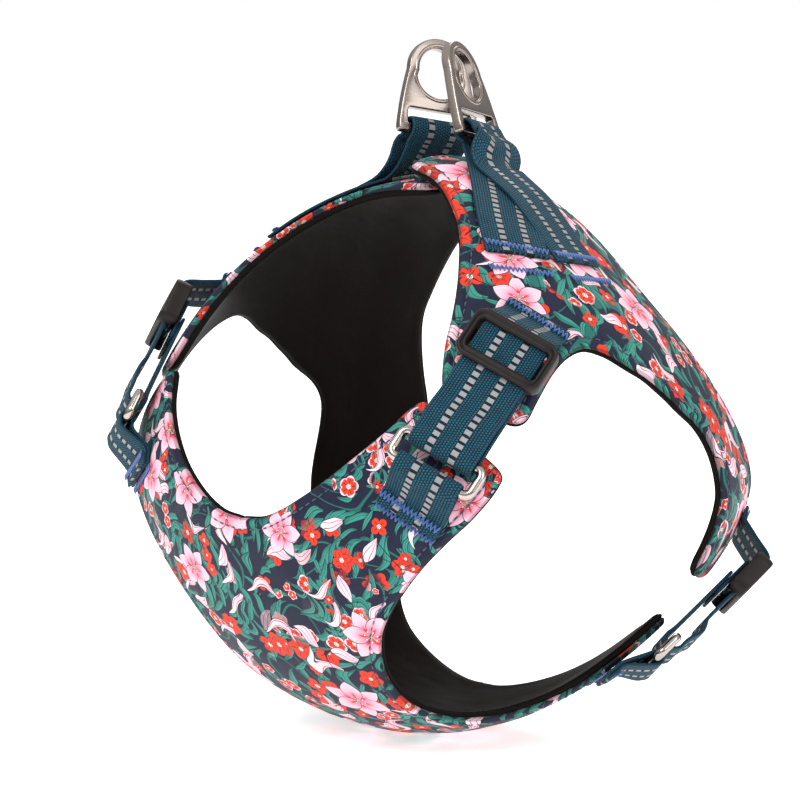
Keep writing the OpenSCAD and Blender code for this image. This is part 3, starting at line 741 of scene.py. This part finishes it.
def stitches(name, places, quads, loop, lifted, mirror, inset=3.4, pitch=3.1, length=2.2,
             wide=0.26):
    """Running stitches as short threads along the border, each lying in the cloth."""
    base = skin(places[loop])
    closed = np.concatenate([base, base[:1]])
    run = np.concatenate([[0], np.cumsum(np.linalg.norm(np.diff(closed, axis=0), axis=1))])
    count = int(run[-1] / pitch)
    s = (np.arange(count * 2 + 1) / (count * 2)) * run[-1]
    pts = np.stack([np.interp(s, run, closed[:, k]) for k in range(3)], 1)
    smooth = pts.copy()
    for _ in range(2):
        smooth[:-1] = (np.roll(smooth[:-1], 1, 0) + 2 * smooth[:-1]
                       + np.roll(smooth[:-1], -1, 0)) / 4
    smooth[-1] = smooth[0]
    ring = smooth[:-1]
    tangent = unit(np.roll(ring, -1, 0) - np.roll(ring, 1, 0))
    spots = np.array([place_of(q) for q in ring])
    inward = facing(places, quads) * unit(np.cross(slope(skin, spots), tangent))
    inside = np.array([place_of(q) for q in ring + inward * inset])
    core = above(inside, rise(inside, lifted) - 0.2)
    normal, verts, faces = slope(skin, inside), [], []
    for k in range(0, 2 * count, 2):
        c, m = core[k], normal[k]
        t = core[(k + 1) % (2 * count)] - core[k - 1]
        if np.linalg.norm(t) < 1e-6:
            continue
        t = unit(t)
        w = np.cross(m, t)
        first = len(verts)
        for f, r in ((-1, 0.35), (-0.7, 0.95), (0, 1.15), (0.7, 0.95), (1, 0.35)):
            for a in range(6):
                g = a * math.pi / 3
                verts.append(c + t * f * length / 2 + (w * math.cos(g) + m * math.sin(g)) * wide * r
                             - m * 0.18 * abs(f))
        faces += [tuple(first + v for v in fc) for fc in tube_faces(5, 6)]
    return build(name, verts, outward(verts, faces), stitch_material, mirror=mirror)


def panel(part, outer, inner, cols, lifted=False, mirror=False, joined=None, seed=1):
    places, quads = panel_grid(outer, inner, cols, joined)
    loop = border(quads)
    base = skin(places)
    rim = skin(places[loop])
    edge = np.concatenate([np.linalg.norm(base[i:i + 500, None] - rim[None], axis=2).min(1)
                           for i in range(0, len(base), 500)])
    uv = flatten(base, quads) + seed * 61.0
    soft_bumps = wave(base, 38, seed) * 0.22 + wave(base, 15, seed + 5) * 0.08
    fade = ease(edge / 8)
    top = (-0.94 * (1 - np.clip(edge / 1.7, 0,
                                1)) ** 2.2 - 0.42 * np.exp(-((edge - 3.4) / 0.85) ** 2)
           + fade * (soft_bumps - 0.1))
    flat = np.zeros(len(base))
    wrap = 1.3 * (1 - np.clip(edge / 1.3, 0, 1)) ** 2
    sheet(part + "_print_cloth", places, quads, loop, top, flat - PRINT - wrap, 0.5, lifted, uv,
          edge,
          print_material, mirror, part + "_print")
    sheet(part + "_padded_rim", places, quads, loop, flat + PAD_TOP - wrap,
          flat + PAD_TOP - PADDING, 0.9,
          lifted, uv, edge, rim_material, mirror, part + "_padding")
    folds = 0.25 + 0.25 * wave(base * [1, 1, 0.35], 26, seed + 9)
    low = LINING_TOP - LINING + 0.6 * (1 - np.clip(edge / 2.0, 0, 1)) ** 2 - fade * folds
    sheet(part + "_inner_lining", places, quads, loop, flat + LINING_TOP, low, 0, lifted, uv, edge,
          lining_material, mirror, part + "_lining")
    stitches(part + "_running_stitch", places, quads, loop, lifted, mirror)


RIGHT_OUTER = [[t, l - OVERLAP * float(ease((14 - l) / 12))] for t, l in SADDLE_OUTER]
panel("chest", CHEST_OUTER, CHEST_INNER, 30, joined=(8, 16), seed=1)
panel("left_saddle", SADDLE_OUTER, SADDLE_INNER, 36, lifted=True, seed=2)
panel("right_saddle", RIGHT_OUTER, SADDLE_INNER, 36, mirror=True, seed=3)


# ---------------------------------------------------------------- closure tapes
def tape(name, theta, lam, high, low, mat, node_name):
    n, m = 40, 24
    t, l = np.meshgrid(np.linspace(*theta, n), np.linspace(*lam, m), indexing="ij")
    p = np.stack([t, l], -1).reshape(-1, 2)
    rng = np.random.default_rng(4)
    inside = np.ones((n, m), bool)
    inside[[0, -1], :] = inside[:, [0, -1]] = False
    rough = rng.uniform(-0.12, 0.0, n * m) * inside.ravel()
    quads = [(i * m + j, i * m + j + 1, (i + 1) * m + j + 1, (i + 1) * m + j) for i in range(n - 1)
             for j in range(m - 1)]
    flat = np.zeros(len(p))
    uv = skin(p)[:, :2]
    obj = sheet(name, p, quads, border(quads), flat + high + rough, flat + low, 0, False, uv,
                flat + 5, mat,
                False, node_name)
    return obj


tape("loop_tape_pile", (11, -5), (-8, 5), TAPE + TAPE_LIFT, TAPE_LIFT, loop_tape_glare_material, "loop_tape")
tape("hook_tape_pile", (10, -4), (1, 5), RISE + LINING_TOP - LINING - PLAY, TAPE + 2 * TAPE_LIFT,
     hook_tape_glare_material,
     "hook_tape")


# ---------------------------------------------------------------- adjusters
def sewn(places, h, lifted=False, turned=1):
    p = np.array(places, float)
    base = skin(p)
    out = []
    for k in range(len(p)):
        m = face_normal(p[k], lifted)
        t = base[min(k + 1, len(p) - 1)] - base[max(k - 1, 0)]
        out.append((face(p[k], lifted) + h * m, turned * unit(np.cross(m, t)), -turned * CAMBER))
    return out


def adjuster(ring_at, slider_at, ring_lift, slider_lift):
    ring_at, slider_at = np.array(ring_at, float), np.array(slider_at, float)
    r, s = above(ring_at, ring_lift), above(slider_at, slider_lift)
    t = unit(s - r)
    m = unit(slope(skin, ring_at) + slope(skin, slider_at))
    out = unit(m - m.dot(t) * t)
    return {"o": r, "t": t, "w": np.cross(out, t), "out": out, "len": float(np.linalg.norm(s - r))}


def local(f, x, z, y=0.0):
    return f["o"] + x * f["t"] + y * f["w"] + z * f["out"]


def along(f, distances):
    return [place_of(local(f, d, -7.5)) for d in distances]


def between(a, b, f):
    return (a[0] * (1 - f) + b[0] * f, unit(a[1] * (1 - f) + b[1] * f), a[2] * (1 - f) + b[2] * f)


def rounded(half_x, half_y, radius, count):
    """Points round a rounded rectangle, the same number for any size, so that two can be matched."""
    out = []
    for k, (sx, sy) in enumerate(((1, 1), (-1, 1), (-1, -1), (1, -1))):
        for j in range(count + 1):
            a = math.radians(90 * k + 90 * j / count)
            out.append(((half_x - radius) * sx + radius * math.cos(a),
                        (half_y - radius) * sy + radius * math.sin(a)))
    return np.array(out)


def densify(ring, step):
    out = []
    for a, b in zip(ring, np.roll(ring, -1, 0)):
        n = max(int(np.linalg.norm(b - a) / step), 1)
        out += [a + (b - a) * k / n for k in range(n)]
    return np.array(out)


def slider(name, f, body, node_name, mirror):
    outer = rounded(SLIDER_LENGTH / 2, HALF_SLOT + RAIL, 4.2, 8)
    inner = rounded(SLIDER_LENGTH / 2 - 4, HALF_SLOT, 1.6, 8)
    both = np.concatenate([outer, inner], 1)
    both = densify(both, 1.5)
    profile = [(0.1, 0.0), (0.02, 0.08), (0.0, 0.3), (0.0, 0.72), (0.05, 0.88), (0.14, 0.97),
               (0.26, 1.0),
               (0.38, 0.97), (0.44, 0.88), (0.52, 0.86), (0.58, 0.93), (0.7, 0.96), (0.84, 0.9),
               (0.97, 0.74),
               (1.0, 0.5), (1.0, 0.12), (0.92, 0.0)]
    verts = []
    for ox, oy, ix, iy in both:
        side = float(ease((abs(oy) - HALF_SLOT + 1.2) / 2.4))
        low = END_BAR_LOW * (1 - side) - 0.8 * side
        verts += [local(f, f["len"] + ox + (ix - ox) * a, low + (END_BAR_HIGH - low) * b,
                        oy + (iy - oy) * a)
                  for a, b in profile]
    faces = outward(np.array(verts) - local(f, f["len"], 2),
                    tube_faces(len(both), len(profile), close=True))
    bar, ring = [], 16
    for y in np.linspace(-HALF_SLOT - 1, HALF_SLOT + 1, 30):
        for k in range(ring):
            a = 2 * math.pi * k / ring
            c, s = math.cos(a), math.sin(a)
            bar.append(local(f, f["len"] + BAR_X * math.copysign(abs(c) ** 0.5, c),
                             BAR_Z * math.copysign(abs(s) ** 0.5, s), y))
    bar_faces = outward(np.array(bar) - local(f, f["len"], 0), tube_faces(30, ring))
    faces += [tuple(v + len(verts) for v in q) for q in bar_faces]
    obj = build(name, verts + bar, faces, plastic_material, mirror=mirror, body=body)
    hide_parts(node_name)


def strap(name, f, bow, mirror, node_name):
    start = sewn(along(f, [f["len"] + d for d in (23.5, 21, 18.5)]), UNDER)
    w = -f["w"]
    length = f["len"]
    run = [(local(f, length + x, LEVEL), w, 0) for x in (10, 4, -9, -22)]
    near, far = length - 22, OVAL_BAR + 3
    for g in (0.2, 0.35, 0.5, 0.65, 0.8):
        run.append((local(f, near * (1 - g) + far * g,
                          LEVEL * (1 - g) + STRAP_WRAP * g + bow * math.sin(math.pi * g) ** 2), w,
                    0))
    run.append((local(f, far, STRAP_WRAP), w, 0))
    wrap = [(local(f, OVAL_BAR + STRAP_WRAP * math.cos(math.radians(a)),
                   STRAP_WRAP * math.sin(math.radians(a))),
             w, 0) for a in np.arange(90, 271, 15)]
    back = [(local(f, OVAL_BAR + 6, -LEVEL), w, 0), (local(f, length - 4, -LEVEL), w, 0)]
    ribbon(name, start + [between(start[2], run[0], 0.45)] + run + wrap + back, mirror,
           node=node_name)


def strap_end(name, f, mirror, body, node_name):
    turn = BAR_X - 0.25
    path = [(-13, -LOOP)] + [(turn + LOOP * math.cos(math.radians(a)),
                              LOOP * math.sin(math.radians(a)))
                             for a in np.arange(-90, 91, 15)]
    path += [(-turn + LOOP * math.cos(math.radians(a)), LOOP * math.sin(math.radians(a)))
             for a in np.arange(90, 181, 15)]
    ribbon(name, [(local(f, f["len"] + x, z), f["w"], 0) for x, z in path], mirror, body=body,
           node=node_name)


def anchor(name, f, mirror, node_name):
    places = along(f, (-22, -18.5, -15))
    first, last = sewn(places, UNDER), sewn(places[::-1], OVER, turned=-1)
    wrap = [(local(f, -OVAL_BAR + ANCHOR_WRAP * math.cos(math.radians(a)),
                   ANCHOR_WRAP * math.sin(math.radians(a))),
             f["w"], 0) for a in np.arange(-65, 131, 13)]
    lead = [(local(f,
                   -OVAL_BAR + ANCHOR_WRAP * math.cos(math.radians(a)) - d * math.sin(math.radians(a)),
                   ANCHOR_WRAP * math.sin(math.radians(a)) + d * math.cos(math.radians(a))), f["w"],
             0)
            for a, d in ((-65, -4.5), (130, 3.5))]
    ribbon(name, first + [lead[0]] + wrap + [lead[1]] + last, mirror, node=node_name)


neck = adjuster([77.1, 40.2], [50, 44.8], 7.2, 6.0)
girth = adjuster([-164, 54], [-122, 57], 7.2, 9.5)
for side, mirror in (("left", False), ("right", True)):
    for where, f, bow in (("neck", neck, 1.0), ("girth", girth, 1.8)):
        stem = side + "_" + where
        body = stem + "_adjuster"
        strap(stem + "_strap_webbing", f, bow, mirror, stem + "_strap")
        strap_end(stem + "_strap_end_webbing", f, mirror, body, stem + "_strap_end")
        anchor(stem + "_anchor_webbing", f, mirror, stem + "_anchor")
        slider(stem + "_slider_frame", f, body, stem + "_slider", mirror)
        ring_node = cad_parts[stem + "_ring"]
        ring_node.data.materials.clear()
        ring_node.data.materials.append(oval_material)

# ---------------------------------------------------------------- leash webbing and rings
ACROSS = unit(np.array([-10, 32, -5.4]))


def lead(name, lifted, mirror, node_name):
    front, rear = sewn(LEAD_FRONT, UNDER, lifted), sewn(LEAD_REAR, OVER, lifted, -1)
    rear = [(c - (OVER - UNDER) * float(ease(k - 1.5)) * slope(skin, np.array(LEAD_REAR[k], float)),
             a, b)
            for k, (c, a, b) in enumerate(rear)]
    foot = (front[4][0] + rear[0][0]) / 2
    to = RING_BAR - foot
    up = unit(to - to.dot(ACROSS) * ACROSS)
    side_dir = np.cross(ACROSS, up)
    turns = [(-10, -LEAD_STRAIGHT)] + [(w, 0)
                                       for w in np.arange(-10, 191, 12.5)] + [(190, LEAD_STRAIGHT)]
    crown = [(RING_BAR
              + LEAD_WRAP * (math.sin(math.radians(w)) * up - math.cos(math.radians(w)) * side_dir)
              + d * (math.cos(math.radians(w)) * up + math.sin(math.radians(w)) * side_dir),
              -ACROSS, 0)
             for w, d in turns]
    rise_leg = span(front[4], unit(front[4][0] - front[3][0]), crown[0],
                    math.cos(math.radians(10)) * up, 0.8)
    fall = span(crown[-1], -up + 0.35 * side_dir, rear[0], unit(rear[1][0] - rear[0][0]), 1.35)
    ribbon(name, front + rise_leg + crown + fall + rear, mirror, node=node_name)


def span(a, a_way, b, b_way, slack):
    """Stations of a smooth curve between two others, leaving and arriving along the given ways."""
    gap = np.linalg.norm(b[0] - a[0]) * slack
    out = []
    for g in (0.14, 0.28, 0.42, 0.56, 0.7, 0.85):
        h = g * g * (3 - 2 * g)
        centre = (a[0] * (1 - h) + b[0] * h
                  + gap * (g * (1 - g) ** 2 * a_way - g * g * (1 - g) * b_way))
        out.append((centre, unit(a[1] * (1 - h) + b[1] * h), a[2] * (1 - h) + b[2] * h))
    return out


def sweep_ring(points2, radius, z, frame_axes, origin, sides=10):
    """A thin tube round a closed flat outline."""
    p = np.array(points2)
    t = unit(np.roll(p, -1, 0) - np.roll(p, 1, 0))
    n = np.stack([t[:, 1], -t[:, 0]], 1)
    verts = []
    for q, m in zip(p, n):
        for k in range(sides):
            a = 2 * math.pi * k / sides
            flat = q + m * radius * math.cos(a)
            verts.append(origin + flat[0] * frame_axes[0] + flat[1] * frame_axes[1]
                         + (z + radius * 0.8 * math.sin(a)) * frame_axes[2])
    return verts, tube_faces(len(p), sides, close=True)


def fillet(points, radii, steps=7):
    """Rounds the corners of a polygon."""
    out, n = [], len(points)
    for k in range(n):
        p, a, b = (np.array(points[i % n], float) for i in (k, k - 1, k + 1))
        r = radii[k]
        if r <= 0:
            out.append(p)
            continue
        u, v = unit(a - p), unit(b - p)
        half = math.acos(np.clip(u.dot(v), -1, 1)) / 2
        cut = min(r / math.tan(half), 0.45 * np.linalg.norm(a - p), 0.45 * np.linalg.norm(b - p))
        c = p + unit(u + v) * cut / math.cos(half)
        s, e = p + u * cut - c, p + v * cut - c
        for j in range(steps + 1):
            g = j / steps
            d = unit(s * (1 - g) + e * g) * np.linalg.norm(s)
            out.append(c + d)
    return out


def leash_ring(name, lean, mirror, body, node_name):
    u0 = unit(np.array([0, 0, 1]) - ACROSS[2] * ACROSS)
    side_dir = np.cross(ACROSS, u0)
    a = math.radians(lean)
    up = math.cos(a) * u0 + math.sin(a) * side_dir
    out = np.cross(up, ACROSS)
    foot, slot_top = RING_PLATE / 2, 7.6
    eye_at = RING_HEIGHT - foot - 4 - EYE
    top_r, band_top, lower = EYE + 4, slot_top + 5, EYE + 1.2
    side_pts = [(RING_WIDTH / 2 + (top_r - RING_WIDTH / 2) * (g * g * 0.4 + g * 0.6),
                 1 + (eye_at - 1) * g)
                for g in np.linspace(0, 1, 14)]
    crown = [(top_r * math.cos(math.radians(d)), eye_at + top_r * math.sin(math.radians(d)))
             for d in range(6, 175, 6)]
    outline = [(-RING_WIDTH / 2, -foot), (RING_WIDTH / 2, -foot)] + side_pts + crown \
        + [(-x, y) for x, y in reversed(side_pts)]
    outline = fillet(outline, [1.6, 1.6] + [0] * (len(outline) - 2))
    eye = [(EYE * math.cos(math.radians(d)), eye_at + EYE * math.sin(math.radians(d)))
           for d in range(0, 181, 6)]
    eye += [(-EYE, eye_at - 1),
            ] + [(-lower * math.cos(math.radians(d)) * (0.965 + 0.035 * math.sin(math.radians(d))),
                                      eye_at - 2 - (eye_at - 2 - band_top) * math.sin(math.radians(d)))
                                     for d in range(8, 173, 6)] + [(EYE, eye_at - 1)]
    slot_half = (WIDTH + 1.6) / 2
    slot = fillet([(-slot_half, foot), (slot_half, foot), (slot_half, slot_top),
                   (-slot_half, slot_top)],
                  [0.5, 0.5, 1.4, 1.4])
    data = bpy.data.curves.new(name, "CURVE")
    data.dimensions, data.fill_mode = "2D", "BOTH"
    for pts in (outline, eye, slot):
        spline = data.splines.new("POLY")
        spline.points.add(len(pts) - 1)
        for q, pt in zip(spline.points, pts):
            q.co = (pt[0], pt[1], 0, 1)
        spline.use_cyclic_u = True
    data.bevel_depth, data.bevel_resolution, data.offset = 0.55, 3, -0.55
    data.extrude = foot - 0.55
    temp = bpy.data.objects.new(name + "_plan", data)
    bpy.context.collection.objects.link(temp)
    bpy.context.view_layer.update()
    flat = bpy.data.meshes.new_from_object(temp.evaluated_get(bpy.context.evaluated_depsgraph_get()))
    plane = np.array([v.co for v in flat.vertices])
    faces = [tuple(p.vertices) for p in flat.polygons]
    bpy.data.objects.remove(temp)
    verts = [RING_BAR + x * ACROSS + y * up + z * out for x, y, z in plane]
    key, index, kept = {}, [], []
    for v in verts:
        k = tuple(np.round(v, 3))
        if k not in key:
            key[k] = len(kept)
            kept.append(v)
        index.append(key[k])
    faces = [tuple(dict.fromkeys(index[i] for i in f)) for f in faces]
    faces = [f for f in faces if len(f) > 2]
    centre = np.mean(kept, axis=0)
    faces = outward(np.array(kept) - centre, faces)
    lip_line = densify(np.array(eye), 0.8)
    t = unit(np.roll(lip_line, -1, 0) - np.roll(lip_line, 1, 0))
    lip_line = lip_line + np.stack([t[:, 1], -t[:, 0]], 1) * 1.15
    for z in (-foot + 0.25, foot - 0.25):
        extra, loops = sweep_ring(lip_line, 0.75, z, (ACROSS, up, out), RING_BAR)
        loops = outward(np.array(extra) - centre, loops)
        faces += [tuple(v + len(kept) for v in q) for q in loops]
        kept += extra
    obj = build(name, kept, faces, ring_material, mirror=mirror, body=body)
    split = obj.modifiers.new("edges", "EDGE_SPLIT")
    split.split_angle = math.radians(50)
    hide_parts(node_name)


for side, mirror, lean in (("left", False, -21), ("right", True, 17)):
    lead(side + "_lead_band", side == "left", mirror, side + "_lead_webbing")
    leash_ring(side + "_leash_ring_plate", lean, mirror, side + "_leash_ring_body",
               side + "_leash_ring")


# ---------------------------------------------------------------- bar tacks
def tack(verts, faces, p, toward, h, lifted, rng, mirror=False):
    p, toward = np.array(p, float), np.array(toward, float)
    m = face_normal(p, lifted)
    v = skin(toward) - skin(p)
    t = unit(v - v.dot(m) * m)
    w = np.cross(m, t)
    o = face(p, lifted) + h * m
    count, span = 30, WIDTH - 1.4
    for k in range(count):
        x = (k / (count - 1) - 0.5) * span
        tilt = 0.36 * (1 if k % 2 else -1) + rng.uniform(-0.08, 0.08)
        d = unit(t + w * tilt)
        e = np.cross(m, d)
        first = len(verts)
        for g, r in ((-1, 0.4), (-0.75, 0.9), (0, 1.1), (0.75, 0.9), (1, 0.4)):
            for a in range(6):
                b = a * math.pi / 3
                q = o + w * x + d * g * (1.5 + rng.uniform(-0.1, 0.1)) \
                    + (e * math.cos(b) + m * math.sin(b)) * 0.3 * r - m * 0.24 * abs(g)
                verts.append(q * [-1, 1, 1] if mirror else q)
        ring = [tuple(first + i for i in q) for q in tube_faces(5, 6)]
        faces += [tuple(reversed(q)) for q in ring] if mirror else ring


def tacks(name, jobs, node_name):
    verts, faces, rng = [], [], random.Random(8)
    for p, toward, h, lifted, mirror in jobs:
        tack(verts, faces, p, toward, h, lifted, rng, mirror)
    obj = build(name, verts, outward(verts, faces), tack_material)
    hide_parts(node_name)


top_over, top_under = OVER + HALF_T + TACK_HEIGHT, UNDER + HALF_T + TACK_HEIGHT
chest_jobs = []
for mirror in (False, True):
    for f, ring_at in ((neck, [77.1, 40.2]), (girth, [-164, 54])):
        near, far = along(f, (-18, -24))
        chest_jobs += [(near, ring_at, top_over, False, mirror),
                       (far, ring_at, TACK_HEIGHT, False, mirror)]
tacks("chest_tack_stitches", chest_jobs, "chest_bar_tacks")


def saddle_jobs(lifted, mirror):
    jobs = [(along(f, [f["len"] + 21])[0], at, top_under, lifted, mirror)
            for f, at in ((neck, [50, 44.8]), (girth, [-122, 57]))]
    for a, b, toward in ((0, 1, LEAD_FRONT[2]), (2, 3, LEAD_REAR[2])):
        jobs += [(LEAD_TACKS[a], toward, top_under, lifted, mirror),
                 (LEAD_TACKS[b], toward, TACK_HEIGHT, lifted, mirror)]
    return jobs


tacks("left_saddle_tack_stitches", saddle_jobs(True, False), "left_saddle_bar_tacks")
tacks("right_saddle_tack_stitches", saddle_jobs(False, True), "right_saddle_bar_tacks")


# ---------------------------------------------------------------- floor, camera and light
def floor_material():
    m, shader = material("studio_floor")
    cloud = noise(node("ShaderNodeTexCoord").outputs["Object"], 3.0, 2.0)
    feed(shader.inputs["Base Color"],
         blend_colour(cloud, (0.9, 0.9, 0.9, 1), (0.93, 0.93, 0.93, 1)))
    shader.inputs["Roughness"].default_value = 0.9
    shader.inputs["Specular IOR Level"].default_value = 0.0
    shader.inputs["Emission Color"].default_value = (1, 1, 1, 1)
    shader.inputs["Emission Strength"].default_value = 0.62
    return m


bpy.ops.mesh.primitive_plane_add(size=12, location=(0, 0, cad_box[0][2] - 0.0005))
floor = bpy.context.object
floor.name = "floor"
floor.data.materials.append(floor_material())

AZIMUTH, ELEVATION = math.radians(45.66), math.radians(7.19)
forward = Vector((-math.sin(AZIMUTH) * math.cos(ELEVATION), math.cos(AZIMUTH) * math.cos(ELEVATION),
                  -math.sin(ELEVATION)))
camera = bpy.data.cameras.new("camera")
camera.sensor_width, camera.lens = 36, 135.15
eye = bpy.data.objects.new("camera", camera)
eye.location = (0.7893, -0.7828, 0.2647)
eye.rotation_euler = forward.to_track_quat("-Z", "Y").to_euler()
bpy.context.collection.objects.link(eye)
bpy.context.scene.camera = eye


def area(name, place, size, power, aim=(0, 0, 0.13)):
    data = bpy.data.lights.new(name, "AREA")
    data.shape, data.size, data.energy = "DISK", size, power
    obj = bpy.data.objects.new(name, data)
    obj.location = place
    obj.rotation_euler = (Vector(aim) - Vector(place)).to_track_quat("-Z", "Y").to_euler()
    bpy.context.collection.objects.link(obj)


area("key", (0.3, -1.3, 1.5), 0.9, 21)
area("fill", (1.6, 0.2, 0.9), 1.2, 10)
area("back", (-0.9, 1.2, 1.4), 1.0, 8)


def studio_world():
    """White to the camera, softer as a light."""
    world = bpy.data.worlds.new("studio")
    world.use_nodes = True
    Wire.tree = world.node_tree
    shown = world.node_tree.nodes["Background"]
    shown.inputs[0].default_value, shown.inputs[1].default_value = (1, 1, 1, 1), 1.0
    lit = node("ShaderNodeBackground")
    lit.inputs[0].default_value = (1, 0.99, 0.98, 1)
    split = node("ShaderNodeSeparateXYZ")
    feed(split.inputs[0], node("ShaderNodeTexCoord").outputs["Generated"])
    feed(lit.inputs[1], soft(Wire(split.outputs[2]), -0.15, 0.75) * 0.75 + 0.12)
    mix = node("ShaderNodeMixShader")
    Wire.tree.links.new(node("ShaderNodeLightPath").outputs["Is Camera Ray"], mix.inputs[0])
    Wire.tree.links.new(lit.outputs[0], mix.inputs[1])
    Wire.tree.links.new(shown.outputs[0], mix.inputs[2])
    Wire.tree.links.new(mix.outputs[0], world.node_tree.nodes["World Output"].inputs[0])
    bpy.context.scene.world = world


studio_world()
bpy.context.scene.view_settings.view_transform = "Standard"
